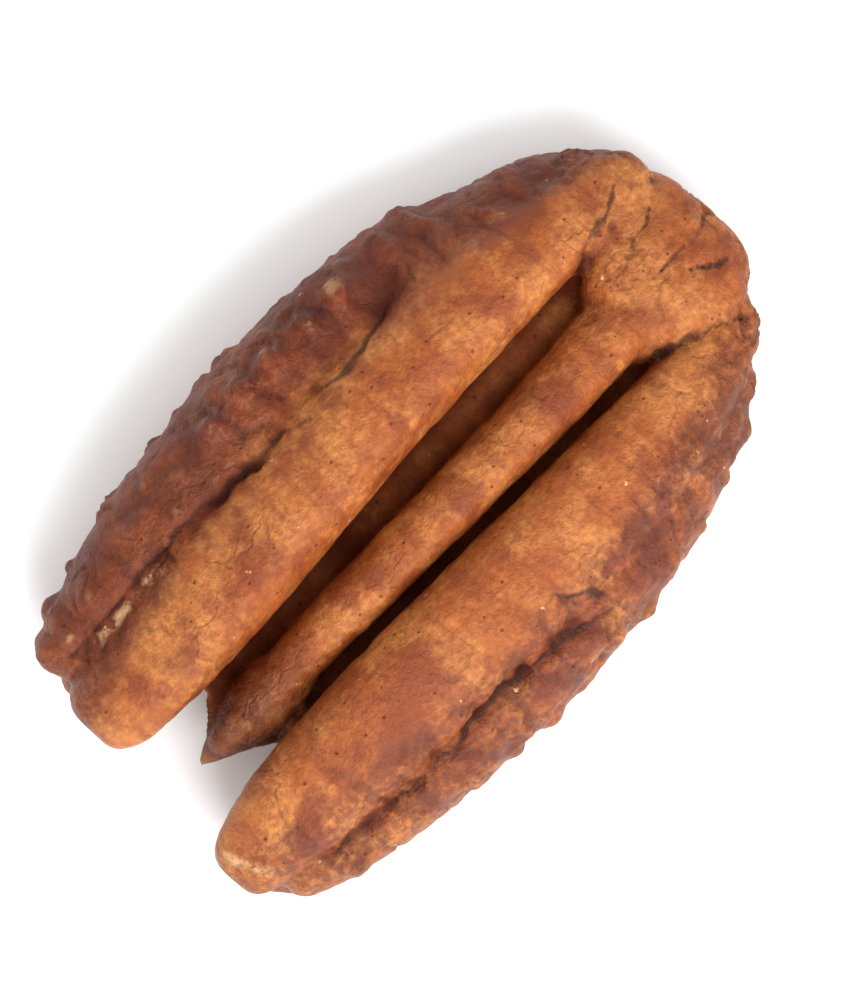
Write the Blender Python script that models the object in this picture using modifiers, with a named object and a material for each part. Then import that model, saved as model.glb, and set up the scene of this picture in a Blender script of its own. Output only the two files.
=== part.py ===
"""A shelled pecan half lying on its rim with its rounded back up, at real size.

The kernel grew as one piece, so it is one solid. Its form is a bundle of swellings: a main lobe, a
flank and a rim on each side, the rib between the two deep grooves of the back with the pointed germ
at its open end, and in the valley of the flat side the two lips of the slit and the patch where the
other half broke away. Each swelling is a sphere stretched and bent along the nut, and one skin is
drawn over the bundle.

Frame: +X runs from the notched end to the closed apex and +Z is up. The origin is at the middle of
the underside, on the surface that the kernel rests on. Left is +Y.
"""

from dataclasses import dataclass

import bmesh
import bpy
import numpy as np

MM = 0.001

# Driving dimensions of the finished kernel, in millimetres.
LENGTH = 34.0
WIDTH = 20.8
HEIGHT = 8.6

# The skin drawn over the swellings, and how deep the flat spots cut into the rim, in millimetres.
SKIN_VOXEL = 0.30
SKIN_SMOOTHING_STEPS = 2
SKIN_TRIANGLES = 9000
REST_DEPTH = 0.12

SPHERE_RINGS = 96
SPHERE_SEGMENTS = 64
CUTTER_MARGIN = 4.0

SKIN_COLOUR = (0.42, 0.17, 0.065, 1.0)
SKIN_ROUGHNESS = 0.48

ROW_NAME = "pecan_half"
CUTTER_NAME = "floor_cutter"


@dataclass(frozen=True)
class Swelling:
    """A sphere stretched between two tips along X and bent; every length is in millimetres.

    side, level, width and height are stations at even steps from the first tip to the last: Y and Z
    of the centre line, then the half width and half height across it. bluntness squares off the
    first and the last tip, and squareness the section. lean raises the section by so much for each
    step towards +Y. ripple swells and shrinks the section by that share, once in each ripple_pitch.
    """

    tips: tuple
    side: tuple
    level: tuple
    width: tuple
    height: tuple
    bluntness: tuple = (2.6, 2.6)
    squareness: float = 2.4
    lean: float = 0.0
    ripple: float = 0.0
    ripple_pitch: float = 2.0


LEFT_MAIN_LOBE = Swelling(
    tips=(-16.35, 16.6),
    side=(4.05, 4.3, 4.4, 2.9),
    level=(4.3, 5.8, 5.6, 4.0),
    width=(2.65, 2.75, 2.6, 2.3),
    height=(2.7, 3.2, 3.0, 2.1),
    bluntness=(4.5, 3.2),
    squareness=2.5,
    lean=-0.2,
)
RIGHT_MAIN_LOBE = Swelling(
    tips=(-17.0, 15.3),
    side=(-4.85, -5.2, -5.8, -4.9),
    level=(4.1, 5.8, 5.5, 3.8),
    width=(2.6, 2.8, 2.8, 1.9),
    height=(2.6, 3.2, 3.0, 1.9),
    bluntness=(3.8, 3.0),
    squareness=2.5,
    lean=0.18,
)
LEFT_FLANK = Swelling(
    tips=(-15.6, 8.7),
    side=(6.9, 7.75, 7.85, 7.6),
    level=(3.5, 4.3, 4.3, 3.6),
    width=(1.9, 2.5, 2.65, 2.4),
    height=(2.5, 3.1, 3.1, 2.5),
    bluntness=(3.5, 3.6),
    squareness=2.5,
    lean=-0.25,
    ripple=0.04,
    ripple_pitch=1.9,
)
LEFT_SHOULDER = Swelling(
    tips=(2.0, 15.8),
    side=(5.2, 5.4, 4.0),
    level=(4.0, 3.8, 3.0),
    width=(2.6, 2.8, 2.0),
    height=(3.2, 3.1, 2.1),
    bluntness=(2.6, 2.8),
    squareness=2.5,
    lean=-0.25,
)
RIGHT_FLANK = Swelling(
    tips=(-15.8, 13.4),
    side=(-6.6, -7.75, -7.8, -6.2),
    level=(3.0, 3.7, 3.8, 2.8),
    width=(2.1, 2.5, 2.6, 2.0),
    height=(2.2, 2.9, 3.0, 2.1),
    bluntness=(3.5, 3.0),
    lean=0.25,
    ripple=0.03,
    ripple_pitch=2.3,
)
RIB = Swelling(
    tips=(-13.6, 16.2),
    side=(-0.45, -0.72, -1.15, -0.8),
    level=(4.6, 5.5, 5.4, 3.8),
    width=(1.2, 1.3, 1.5, 2.3),
    height=(1.9, 2.3, 2.3, 1.8),
    bluntness=(3.2, 2.6),
    squareness=2.6,
    lean=-0.18,
)
GERM = Swelling(
    tips=(-14.5, -7.0),
    side=(-0.45, -0.6, -0.65),
    level=(3.3, 4.3, 5.0),
    width=(1.3, 1.55, 1.2),
    height=(1.8, 2.2, 2.0),
    bluntness=(1.3, 2.0),
    squareness=2.3,
)
APEX_PLATE = Swelling(
    tips=(9.0, 17.0),
    side=(-1.6, -0.9, -0.6),
    level=(4.6, 3.8, 3.0),
    width=(1.5, 3.9, 3.7),
    height=(2.0, 2.6, 2.0),
    bluntness=(1.8, 3.6),
    squareness=2.7,
)
LEFT_RIM = Swelling(
    tips=(-15.9, 16.5),
    side=(5.2, 6.9, 6.8, 2.9),
    level=(2.3, 2.2, 2.2, 2.5),
    width=(2.3, 2.9, 2.9, 2.0),
    height=(1.9, 2.35, 2.35, 1.9),
    bluntness=(4.5, 3.0),
)
RIGHT_RIM = Swelling(
    tips=(-16.6, 15.6),
    side=(-5.3, -7.0, -7.2, -3.9),
    level=(2.3, 2.2, 2.2, 2.5),
    width=(2.5, 2.8, 2.8, 2.0),
    height=(1.9, 2.35, 2.35, 1.9),
    bluntness=(4.0, 3.0),
)
LEFT_LIP = Swelling(
    tips=(-4.0, 16.4),
    side=(0.0, 0.2, 0.45, 0.75),
    level=(3.5, 2.7, 2.3, 2.5),
    width=(0.9, 1.2, 1.5, 1.6),
    height=(1.3, 1.6, 1.8, 1.8),
    bluntness=(2.4, 3.0),
)
RIGHT_LIP = Swelling(
    tips=(-4.0, 16.2),
    side=(-1.3, -1.5, -1.8, -2.05),
    level=(3.5, 2.7, 2.3, 2.5),
    width=(0.9, 1.2, 1.5, 1.6),
    height=(1.3, 1.6, 1.8, 1.8),
    bluntness=(2.4, 3.0),
)
# The patch is the stump by which the two halves of the nut held together.
BREAK_PATCH = Swelling(
    tips=(-14.0, -1.5),
    side=(-0.5, -0.65, -0.7),
    level=(2.9, 2.2, 3.0),
    width=(1.2, 2.75, 1.3),
    height=(1.5, 1.9, 1.4),
    bluntness=(1.5, 2.3),
    squareness=2.8,
)
# The web joins the lobes, the rib and the lips between the grooves above and the valley below.
WEB = Swelling(
    tips=(-13.5, 15.0),
    side=(-0.3, -0.3, -0.4),
    level=(4.0, 4.0, 3.7),
    width=(5.5, 6.5, 5.0),
    height=(0.75, 0.8, 1.2),
    bluntness=(1.6, 3.0),
    squareness=2.2,
)

SWELLINGS = (
    LEFT_MAIN_LOBE,
    RIGHT_MAIN_LOBE,
    LEFT_FLANK,
    LEFT_SHOULDER,
    RIGHT_FLANK,
    RIB,
    GERM,
    APEX_PLATE,
    LEFT_RIM,
    RIGHT_RIM,
    LEFT_LIP,
    RIGHT_LIP,
    BREAK_PATCH,
    WEB,
)


def along(stations, fraction):
    """The smooth curve through evenly spaced stations, read at fractions from 0 to 1."""
    places = np.linspace(0.0, 1.0, len(stations))
    return np.polyval(np.polyfit(places, stations, len(stations) - 1), fraction)


def add_swelling(form, swelling):
    """Adds one sphere to the bmesh and bends it into the swelling's place."""
    ball = bmesh.ops.create_uvsphere(
        form, u_segments=SPHERE_SEGMENTS, v_segments=SPHERE_RINGS, radius=1.0
    )
    across, upward, lengthwise = np.array([vert.co for vert in ball["verts"]]).T

    # How full the section is at each place along, and how far it reaches in each direction.
    power = np.where(lengthwise < 0.0, *swelling.bluntness)
    fullness = (1.0 - np.minimum(np.abs(lengthwise), 1.0) ** power) ** (1.0 / power)
    corner = swelling.squareness
    reach = (np.abs(across) ** corner + np.abs(upward) ** corner) ** (1.0 / corner)
    first, last = swelling.tips
    fraction = (lengthwise + 1.0) / 2.0
    x = first + (last - first) * fraction
    ripple = 1.0 + swelling.ripple * np.sin(2.0 * np.pi * x / swelling.ripple_pitch)
    scale = fullness * ripple / np.maximum(reach, 1e-9)

    sideways = along(swelling.width, fraction) * scale * across
    y = along(swelling.side, fraction) + sideways
    z = along(swelling.level, fraction) + along(swelling.height, fraction) * scale * upward
    z += swelling.lean * sideways
    for vert, place in zip(ball["verts"], np.stack([x, y, z], axis=1), strict=True):
        vert.co = place * MM


def bundle_mesh():
    """All the swellings in one mesh, each still a closed shape of its own."""
    form = bmesh.new()
    for swelling in SWELLINGS:
        add_swelling(form, swelling)
    bmesh.ops.recalc_face_normals(form, faces=form.faces)
    mesh = bpy.data.meshes.new("bundle")
    form.to_mesh(mesh)
    form.free()
    return mesh


def skin_over(bundle, collection):
    """One smooth skin over the bundle, as a plain mesh."""
    holder = bpy.data.objects.new("bundle", bundle)
    collection.objects.link(holder)
    remesh = holder.modifiers.new("draw_skin", "REMESH")
    remesh.mode = "VOXEL"
    remesh.voxel_size = SKIN_VOXEL * MM
    smooth = holder.modifiers.new("soften_creases", "SMOOTH")
    smooth.factor = 0.5
    smooth.iterations = SKIN_SMOOTHING_STEPS
    depsgraph = bpy.context.evaluated_depsgraph_get()
    mesh = bpy.data.meshes.new_from_object(holder.evaluated_get(depsgraph))
    bpy.data.objects.remove(holder)
    return mesh


def fit_to_size(mesh):
    """Brings the skin to the driving dimensions, with its rim just below the resting plane."""
    places = np.array([vert.co for vert in mesh.vertices])
    low = places.min(axis=0)
    high = places.max(axis=0)
    target = np.array([LENGTH, WIDTH, HEIGHT + REST_DEPTH]) * MM
    places = (places - (low + high) / 2.0) * target / (high - low)
    places[:, 2] += (HEIGHT - REST_DEPTH) / 2.0 * MM
    mesh.vertices.foreach_set("co", places.ravel())
    mesh.update()


def skin_material():
    """The brown skin of the kernel."""
    material = bpy.data.materials.new("pecan_skin")
    material.use_nodes = True
    shader = material.node_tree.nodes["Principled BSDF"]
    shader.inputs["Base Color"].default_value = SKIN_COLOUR
    shader.inputs["Roughness"].default_value = SKIN_ROUGHNESS
    shader.inputs["Metallic"].default_value = 0.0
    return material


def floor_cutter(collection):
    """The block under the resting plane, whose top face trims the rim to its flat spots."""
    form = bmesh.new()
    bmesh.ops.create_cube(form, size=1.0)
    length, width = LENGTH + CUTTER_MARGIN, WIDTH + CUTTER_MARGIN
    bmesh.ops.scale(form, vec=(length * MM, width * MM, CUTTER_MARGIN * MM), verts=form.verts)
    bmesh.ops.translate(form, vec=(0.0, 0.0, -CUTTER_MARGIN / 2.0 * MM), verts=form.verts)
    mesh = bpy.data.meshes.new(CUTTER_NAME)
    form.to_mesh(mesh)
    form.free()
    cutter = bpy.data.objects.new(CUTTER_NAME, mesh)
    cutter.hide_render = True
    cutter.display_type = "WIRE"
    collection.objects.link(cutter)
    return cutter


def kernel_object(parts, cutters):
    """The finished kernel: skinned, sized, thinned out and trimmed where it rests."""
    mesh = skin_over(bundle_mesh(), parts)
    mesh.name = ROW_NAME
    fit_to_size(mesh)
    mesh.shade_smooth()
    mesh.materials.append(skin_material())
    kernel = bpy.data.objects.new(ROW_NAME, mesh)
    parts.objects.link(kernel)

    thin_out = kernel.modifiers.new("thin_out", "DECIMATE")
    thin_out.ratio = SKIN_TRIANGLES / (2.0 * len(mesh.polygons))
    rest = kernel.modifiers.new("rest_on_floor", "BOOLEAN")
    rest.operation = "DIFFERENCE"
    rest.solver = "EXACT"
    rest.object = floor_cutter(cutters)
    return kernel


def build():
    """Clears the scene and models the kernel and its cutter, each in its own collection."""
    for old in list(bpy.data.objects):
        bpy.data.objects.remove(old)
    parts = bpy.data.collections.new(ROW_NAME)
    cutters = bpy.data.collections.new("cutters")
    for collection in (parts, cutters):
        bpy.context.scene.collection.children.link(collection)
    kernel_object(parts, cutters)


build()
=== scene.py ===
"""Looks of a shelled pecan half that lies on its rim with its rounded back up.

The kernel grew as one piece, so it is one mesh. Its swellings, the same as the construction's, are
joined with rows of small nodules and covered by one fine skin. A Geometry Nodes tree then gives the
skin its wrinkles, furrows, cracks and pits. The skin's finish follows how broken each place is, and
it paints shade into the skin's colour where a place is hollow, wrinkled or creased and on the left
flank, and paler sharp edges that are partly painted highlight.
"""

import logging
import math
from dataclasses import dataclass
from enum import Enum

import bmesh
import bpy
import numpy as np
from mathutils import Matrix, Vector


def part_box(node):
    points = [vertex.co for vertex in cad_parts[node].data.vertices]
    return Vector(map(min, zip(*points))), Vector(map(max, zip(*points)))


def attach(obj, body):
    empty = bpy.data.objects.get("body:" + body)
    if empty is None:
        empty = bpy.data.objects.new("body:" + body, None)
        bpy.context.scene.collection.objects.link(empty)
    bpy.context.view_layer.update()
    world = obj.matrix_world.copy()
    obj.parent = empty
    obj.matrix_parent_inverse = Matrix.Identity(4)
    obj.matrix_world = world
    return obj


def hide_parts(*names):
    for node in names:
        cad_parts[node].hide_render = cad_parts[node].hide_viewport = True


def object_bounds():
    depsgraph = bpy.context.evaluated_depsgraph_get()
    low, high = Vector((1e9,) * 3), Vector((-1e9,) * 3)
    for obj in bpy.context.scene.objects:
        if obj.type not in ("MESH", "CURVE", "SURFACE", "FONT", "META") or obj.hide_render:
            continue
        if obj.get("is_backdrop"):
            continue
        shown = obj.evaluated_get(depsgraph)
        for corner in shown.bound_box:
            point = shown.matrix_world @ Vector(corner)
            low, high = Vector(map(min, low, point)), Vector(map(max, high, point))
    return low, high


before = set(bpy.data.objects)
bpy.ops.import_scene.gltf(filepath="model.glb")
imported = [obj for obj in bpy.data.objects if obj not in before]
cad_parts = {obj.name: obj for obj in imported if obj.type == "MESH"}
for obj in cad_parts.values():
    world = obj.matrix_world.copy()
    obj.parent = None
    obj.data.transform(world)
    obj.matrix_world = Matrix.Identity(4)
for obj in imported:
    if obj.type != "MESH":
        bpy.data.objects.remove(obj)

LOG = logging.getLogger("pecan_half")
MM = 0.001
NODE = "pecan_half"
PIECE = "pecan_kernel"
SLOT = "pecan_skin"
BODY = "root"
ROW_STEPS = 40


class Trace(Enum):
    """Names of the numbers that each point of the skin carries for its finish.

    HOLLOW, DIMPLE, FOLD and CRACK give the places of painted shade, and DIMPLE also the paler sharp
    edges, which are partly painted highlight.
    """

    HOLLOW = "hollow"
    DIMPLE = "dimple"
    FOLD = "fold"
    CRACK = "crease_shade"
    SCUFF = "scuff"
    FLESH = "flesh"
    FLANK = "flank"
    UNDER = "under"


def along(stations: tuple[float, ...], part: np.ndarray) -> np.ndarray:
    """Reads the smooth curve through evenly spaced stations.

    Args:
        stations: Values at even steps.
        part: Where to read, from 0 at the first station to 1 at the last.

    Returns:
        The curve's value at each part.
    """
    places = np.linspace(0.0, 1.0, len(stations))
    return np.polyval(np.polyfit(places, stations, len(stations) - 1), part)


def linear(red: int, green: int, blue: int) -> tuple[float, float, float, float]:
    """Turns a colour as a screen shows it, from 0 to 255, into the shader's linear colour.

    Args:
        red: Red on the screen.
        green: Green on the screen.
        blue: Blue on the screen.

    Returns:
        Linear red, green, blue and an alpha of 1.
    """
    shares = (value / 255 for value in (red, green, blue))
    values = (s / 12.92 if s <= 0.04045 else ((s + 0.055) / 1.055) ** 2.4 for s in shares)
    return (*values, 1.0)


@dataclass(frozen=True)
class Swelling:
    """A sphere stretched between two tips along X and bent; every length is in millimetres.

    side, level, width and height are stations at even steps from the first tip to the last: Y and Z
    of the centre line, then the half width and half height across it. bluntness squares off the
    first and the last tip, and squareness the section. lean tilts the section across the nut.
    """

    tips: tuple[float, float]
    side: tuple[float, ...]
    level: tuple[float, ...]
    width: tuple[float, ...]
    height: tuple[float, ...]
    bluntness: tuple[float, float] = (2.6, 2.6)
    squareness: float = 2.4
    lean: float = 0.0

    def place(self, ball: np.ndarray) -> np.ndarray:
        """Bends points of the unit sphere into the swelling's place.

        Args:
            ball: Points on the unit sphere, one row each, with its axis along Z.

        Returns:
            The same points on the swelling, in millimetres.
        """
        across, upward, lengthwise = ball.T
        power = np.where(lengthwise < 0.0, *self.bluntness)
        fullness = (1.0 - np.minimum(np.abs(lengthwise), 1.0) ** power) ** (1.0 / power)
        corner = self.squareness
        reach = (np.abs(across) ** corner + np.abs(upward) ** corner) ** (1.0 / corner)
        scale = fullness / np.maximum(reach, 1e-9)
        part = (lengthwise + 1.0) / 2.0
        first, last = self.tips
        sideways = along(self.width, part) * scale * across
        y = along(self.side, part) + sideways
        z = along(self.level, part) + along(self.height, part) * scale * upward
        return np.stack([first + (last - first) * part, y, z + self.lean * sideways], axis=1)

    def row(self, angle: float, inset: float, span: tuple[float, float]) -> np.ndarray:
        """Points along the swelling, a little under its surface.

        Args:
            angle: Degrees up from the way that leads out of the nut's middle.
            inset: How far the points lie under the surface.
            span: Where the row starts and ends, from -1 at one tip to 1 at the other.

        Returns:
            The points in millimetres, one row each.
        """
        lengthwise = np.linspace(*span, ROW_STEPS)
        outward = math.copysign(1.0, sum(self.side)) * math.cos(math.radians(angle))
        upward = math.sin(math.radians(angle))
        level = np.full(ROW_STEPS, upward)
        ball = np.stack([np.full(ROW_STEPS, outward), level, lengthwise], axis=1)
        surface = self.place(ball)
        centre = self.place(ball * (0.0, 0.0, 1.0))
        away = surface - centre
        return surface - away * inset / np.linalg.norm(away, axis=1, keepdims=True)


@dataclass
class Bench:
    """A node tree under construction, with short calls for the nodes that recur."""

    tree: bpy.types.NodeTree

    def node(self, kind: str, **settings: object) -> bpy.types.Node:
        """Adds a node and sets its properties.

        Args:
            kind: The node's type name.
            **settings: Property values by name.

        Returns:
            The new node.
        """
        made = self.tree.nodes.new(kind)
        for name, value in settings.items():
            setattr(made, name, value)
        return made

    def feed(self, socket: bpy.types.NodeSocket, value: object) -> None:
        """Links a socket to another one, or sets its plain value.

        Args:
            socket: The input socket.
            value: An output socket, a number or a tuple.
        """
        if isinstance(value, bpy.types.NodeSocket):
            self.tree.links.new(value, socket)
        elif value is not None:
            socket.default_value = value

    def math(self, operation: str, *values: object, clamp: bool = False) -> bpy.types.NodeSocket:
        """Adds a Math node.

        Args:
            operation: The node's operation, such as MULTIPLY.
            *values: One value for each of its inputs.
            clamp: Whether the result is held between 0 and 1.

        Returns:
            Its output socket.
        """
        made = self.node("ShaderNodeMath", operation=operation, use_clamp=clamp)
        for socket, value in zip(made.inputs, values):
            self.feed(socket, value)
        return made.outputs[0]

    def vector(self, operation: str, *values: object) -> bpy.types.NodeSocket:
        """Adds a Vector Math node.

        Args:
            operation: The node's operation, such as ADD.
            *values: One value for each of its inputs.

        Returns:
            Its output socket.
        """
        made = self.node("ShaderNodeVectorMath", operation=operation)
        sockets = [made.inputs[3]] if operation == "SCALE" else list(made.inputs[1:])
        for socket, value in zip([made.inputs[0], *sockets], values):
            self.feed(socket, value)
        return made.outputs[0]

    def parts(self, vector: object) -> list[bpy.types.NodeSocket]:
        """The three numbers of a vector."""
        made = self.node("ShaderNodeSeparateXYZ")
        self.feed(made.inputs[0], vector)
        return list(made.outputs)

    def join(self, x: object, y: object, z: object) -> bpy.types.NodeSocket:
        """The vector of three numbers."""
        made = self.node("ShaderNodeCombineXYZ")
        for socket, value in zip(made.inputs, (x, y, z)):
            self.feed(socket, value)
        return made.outputs[0]

    def noise(
        self, place: object, scale: object, detail: float = 2.0, roughness: float = 0.5
    ) -> bpy.types.Node:
        """Adds a three-dimensional Noise Texture.

        Args:
            place: Where it is read.
            scale: Its scale.
            detail: Its octaves.
            roughness: How strong the finer octaves are.

        Returns:
            The node, whose outputs are the value and the colour.
        """
        made = self.node("ShaderNodeTexNoise", noise_dimensions="3D")
        names = ("Vector", "Scale", "Detail", "Roughness")
        for name, value in zip(names, (place, scale, detail, roughness)):
            self.feed(made.inputs[name], value)
        return made

    def cells(self, place: object, scale: object, feature: str = "F1") -> bpy.types.NodeSocket:
        """Adds a three-dimensional Voronoi Texture.

        Args:
            place: Where it is read.
            scale: Its scale.
            feature: F1, or DISTANCE_TO_EDGE for the net between the cells.

        Returns:
            Its distance socket.
        """
        made = self.node("ShaderNodeTexVoronoi", voronoi_dimensions="3D", feature=feature)
        self.feed(made.inputs["Vector"], place)
        self.feed(made.inputs["Scale"], scale)
        return made.outputs["Distance"]

    def swing(self, noise: bpy.types.Node) -> bpy.types.NodeSocket:
        """A noise's value brought to swing between about -1 and 1."""
        return self.math("MULTIPLY_ADD", noise.outputs[0], 2.0, -1.0)

    def blend(self, share: object, first: object, second: object) -> bpy.types.NodeSocket:
        """The number between two others, the second where share is 1."""
        difference = self.math("SUBTRACT", second, first)
        return self.math("MULTIPLY_ADD", difference, share, first)

    def mix(self, share: object, first: object, second: object) -> bpy.types.NodeSocket:
        """The colour between two others, the second where share is 1."""
        made = self.node("ShaderNodeMix", data_type="RGBA")
        for index, value in ((0, share), (6, first), (7, second)):
            self.feed(made.inputs[index], value)
        return made.outputs[2]

    def ramp(
        self, value: object, low: object, high: object, first: object = 0.0, last: object = 1.0
    ) -> bpy.types.NodeSocket:
        """Turns a value smoothly from first at low to last at high, and holds it outside.

        Args:
            value: The value that is read.
            low: Where the turn starts.
            high: Where the turn ends.
            first: Result up to low.
            last: Result from high on.

        Returns:
            The output socket.
        """
        made = self.node("ShaderNodeMapRange", interpolation_type="SMOOTHSTEP")
        for socket, entry in zip(made.inputs, (value, low, high, first, last)):
            self.feed(socket, entry)
        return made.outputs[0]


# The swellings, as in the construction. Left is +Y.
LEFT_FLANK = Swelling(
    tips=(-15.6, 8.7),
    side=(6.9, 7.75, 7.85, 7.6),
    level=(3.5, 4.3, 4.3, 3.6),
    width=(1.9, 2.5, 2.65, 2.4),
    height=(2.5, 3.1, 3.1, 2.5),
    bluntness=(3.5, 3.6),
    squareness=2.5,
    lean=-0.25,
)
RIGHT_FLANK = Swelling(
    tips=(-15.8, 13.4),
    side=(-6.6, -7.75, -7.8, -6.2),
    level=(3.0, 3.7, 3.8, 2.8),
    width=(2.1, 2.5, 2.6, 2.0),
    height=(2.2, 2.9, 3.0, 2.1),
    bluntness=(3.5, 3.0),
    lean=0.25,
)
LEFT_RIM = Swelling(
    tips=(-15.9, 16.5),
    side=(5.2, 6.9, 6.8, 2.9),
    level=(2.3, 2.2, 2.2, 2.5),
    width=(2.3, 2.9, 2.9, 2.0),
    height=(1.9, 2.35, 2.35, 1.9),
    bluntness=(4.5, 3.0),
)
RIGHT_RIM = Swelling(
    tips=(-16.6, 15.6),
    side=(-5.3, -7.0, -7.2, -3.9),
    level=(2.3, 2.2, 2.2, 2.5),
    width=(2.5, 2.8, 2.8, 2.0),
    height=(1.9, 2.35, 2.35, 1.9),
    bluntness=(4.0, 3.0),
)
BREAK_PATCH = Swelling(
    tips=(-14.0, -1.5),
    side=(-0.5, -0.65, -0.7),
    level=(2.9, 2.2, 3.0),
    width=(1.2, 2.75, 1.3),
    height=(1.5, 1.9, 1.4),
    bluntness=(1.5, 2.3),
    squareness=2.8,
)
SWELLINGS = (
    LEFT_FLANK,
    RIGHT_FLANK,
    LEFT_RIM,
    RIGHT_RIM,
    BREAK_PATCH,
    # Left and right main lobe.
    Swelling(
        tips=(-16.35, 16.6),
        side=(4.05, 4.3, 4.4, 2.9),
        level=(4.3, 5.8, 5.6, 4.0),
        width=(2.65, 2.75, 2.6, 2.3),
        height=(2.7, 3.2, 3.0, 2.1),
        bluntness=(4.5, 3.2),
        squareness=2.5,
        lean=-0.2,
    ),
    Swelling(
        tips=(-17.0, 15.3),
        side=(-4.85, -5.2, -5.8, -4.9),
        level=(4.1, 5.8, 5.5, 3.8),
        width=(2.6, 2.8, 2.8, 1.9),
        height=(2.6, 3.2, 3.0, 1.9),
        bluntness=(3.8, 3.0),
        squareness=2.5,
        lean=0.18,
    ),
    # Left shoulder.
    Swelling(
        tips=(2.0, 15.8),
        side=(5.2, 5.4, 4.0),
        level=(4.0, 3.8, 3.0),
        width=(2.6, 2.8, 2.0),
        height=(3.2, 3.1, 2.1),
        squareness=2.5,
        lean=-0.25,
    ),
    # Rib, germ and apex plate.
    Swelling(
        tips=(-13.6, 16.2),
        side=(-0.45, -0.72, -1.15, -0.8),
        level=(4.6, 5.5, 5.4, 3.8),
        width=(1.2, 1.3, 1.5, 2.3),
        height=(1.9, 2.3, 2.3, 1.8),
        bluntness=(3.2, 2.6),
        squareness=2.6,
        lean=-0.18,
    ),
    Swelling(
        tips=(-14.5, -7.0),
        side=(-0.45, -0.6, -0.65),
        level=(3.3, 4.3, 5.0),
        width=(1.3, 1.55, 1.2),
        height=(1.8, 2.2, 2.0),
        bluntness=(1.3, 2.0),
    ),
    Swelling(
        tips=(9.0, 17.0),
        side=(-1.6, -0.9, -0.6),
        level=(4.6, 3.8, 3.0),
        width=(1.5, 3.9, 3.7),
        height=(2.0, 2.6, 2.0),
        bluntness=(1.8, 3.6),
        squareness=2.7,
    ),
    # Left and right lip of the slit.
    Swelling(
        tips=(-4.0, 16.4),
        side=(0.0, 0.2, 0.45, 0.75),
        level=(3.5, 2.7, 2.3, 2.5),
        width=(0.9, 1.2, 1.5, 1.6),
        height=(1.3, 1.6, 1.8, 1.8),
        bluntness=(2.4, 3.0),
    ),
    Swelling(
        tips=(-4.0, 16.2),
        side=(-1.3, -1.5, -1.8, -2.05),
        level=(3.5, 2.7, 2.3, 2.5),
        width=(0.9, 1.2, 1.5, 1.6),
        height=(1.3, 1.6, 1.8, 1.8),
        bluntness=(2.4, 3.0),
    ),
    # The web between the grooves above and the valley below.
    Swelling(
        tips=(-13.5, 15.0),
        side=(-0.3, -0.3, -0.4),
        level=(4.0, 4.0, 3.7),
        width=(5.5, 6.5, 5.0),
        height=(0.75, 0.8, 1.2),
        bluntness=(1.6, 3.0),
    ),
)

# Lines on the back, and the slit's on the underside, as X and Y in millimetres.
FURROWS = (
    ((-14.6, 6.7), (-11.0, 6.9), (-8.0, 6.9), (-5.5, 6.7), (-3.6, 6.5)),
    ((-13.6, -7.3), (-10.0, -7.9), (-7.0, -8.1), (-3.5, -8.1), (0.0, -8.6), (2.0, -9.4)),
)
CRACKS = (
    ((-3.6, 6.5), (-2.0, 6.5), (-0.6, 6.0)),
    ((0.4, 6.6), (1.6, 6.1), (3.4, 6.4), (5.2, 6.9)),
    ((10.6, -3.2), (12.0, -3.7), (13.4, -4.3), (14.7, -5.2)),
    ((0.5, -7.0), (1.6, -7.9), (2.2, -8.6), (2.4, -9.8)),
    ((11.2, 1.5), (12.6, 2.1), (14.0, 2.5), (15.0, 3.0)),
    ((13.2, -0.9), (15.0, -1.0), (16.8, -0.9)),
    ((13.6, 0.6), (15.2, 1.1)),
    ((14.6, -2.0), (15.9, -2.8)),
)
SCUFFS = (
    ((-13.4, 6.35), (-12.2, 6.3), (-10.6, 6.45), (-9.4, 6.5)),
    ((-16.4, -3.9), (-16.1, -4.8), (-15.7, -5.7)),
)
SLIT = (((-0.6, -0.65), (2.0, -0.62), (8.0, -0.68), (13.0, -0.66), (17.2, -0.66)),)

LINE_NAMES = ("Furrow", "Crack", "Scuff", "Slit")

# Angles round a swelling's section at which a row of nodules runs.
FLANK_ROWS = ((LEFT_FLANK, (84.0, 48.0, 12.0, -25.0)),)
BEAD_ROWS = ((LEFT_FLANK, (70.0,)),)
SMOOTH_FLANK_ROWS = ((RIGHT_FLANK, (75.0, 35.0, -5.0)),)
RIM_ROWS = ((LEFT_RIM, (-15.0, -55.0, -95.0, -135.0)), (RIGHT_RIM, (-15.0, -55.0, -95.0, -135.0)))


@dataclass(frozen=True)
class Nodules:
    """Rows of small swellings, each wider across the nut than along it.

    Lengths are in millimetres. span is where the rows start and end along their swelling, from
    -1 at one tip to 1 at the other.
    """

    rows: tuple
    spacing: float
    size: tuple[float, float, float]
    inset: float
    jitter: float
    seed: int
    span: tuple[float, float] = (-0.93, 0.93)

    def add_to(self, holder: bpy.types.Object, tree: bpy.types.NodeTree) -> bpy.types.Object:
        """Grows the rows on the kernel's swellings.

        Args:
            holder: The object with the swellings.
            tree: The tree that grows nodules along a guide.

        Returns:
            The guide, which the kernel doesn't need once it is a plain mesh.
        """
        lines = [
            part.row(angle, self.inset, self.span) for part, angles in self.rows for angle in angles
        ]
        guide = edge_guide("nodule_guide", lines)
        modifier = holder.modifiers.new("nodules", "NODES")
        modifier.node_group = tree
        inputs = {
            "Guide": guide,
            "Spacing": self.spacing * MM,
            "Size": tuple(length * MM for length in self.size),
            "Jitter": self.jitter * MM,
            "Seed": self.seed,
        }
        set_inputs(modifier, inputs)
        return guide


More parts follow.
